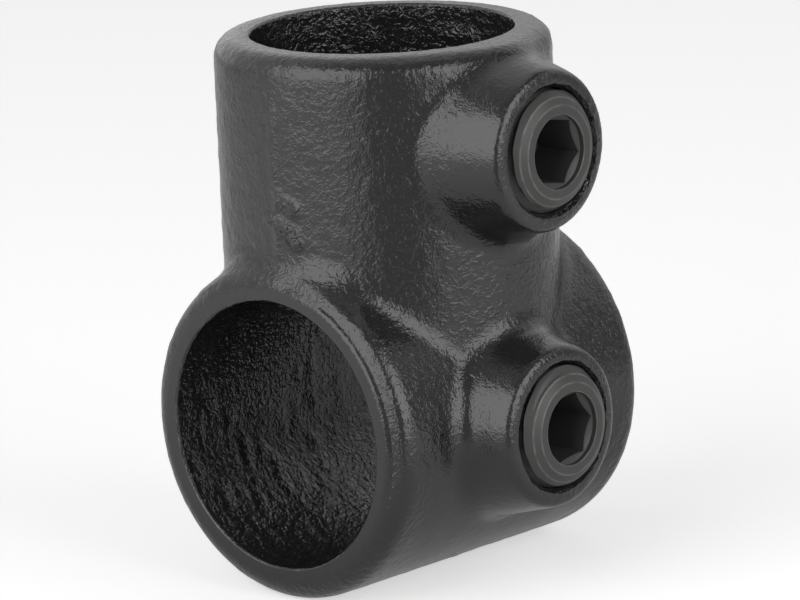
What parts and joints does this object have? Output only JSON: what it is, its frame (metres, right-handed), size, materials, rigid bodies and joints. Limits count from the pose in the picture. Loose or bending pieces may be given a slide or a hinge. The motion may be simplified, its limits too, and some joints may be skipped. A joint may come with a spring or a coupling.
{
  "type": "tube clamp tee fitting",
  "caption": "Cast tube clamp short tee: a sleeve that slides over a rail tube, a blind socket at right angles for an upright tube, and a set screw in a boss to grip each tube.",
  "frame": {"origin": "where the axis of the sleeve meets the axis of the socket, in the middle of the sleeve's length", "axes": "+X along the sleeve and its rail tube, +Z out of the socket's mouth, -Y towards the heads of the two set screws"},
  "size_m": [0.0472, 0.0521, 0.0712],
  "materials": {
    "casting_paint": "gloss black paint over the rough skin of the casting",
    "screw_steel": "satin black oxide, worn bright on its edges"
  },
  "bodies": {
    "casting": {"clamp_casting": "casting_paint"},
    "rail_screw": {"rail_set_screw": "screw_steel"},
    "socket_screw": {"socket_set_screw": "screw_steel"}
  },
  "joints": [
    {"name": "rail_screw_travel", "type": "slide", "parent": "casting", "child": "rail_screw", "axis": [0, 1, 0], "range_m": [-0.004, 0.0022]},
    {"name": "socket_screw_travel", "type": "slide", "parent": "casting", "child": "socket_screw", "axis": [0, 1, 0], "range_m": [-0.004, 0.0014]}
  ]
}
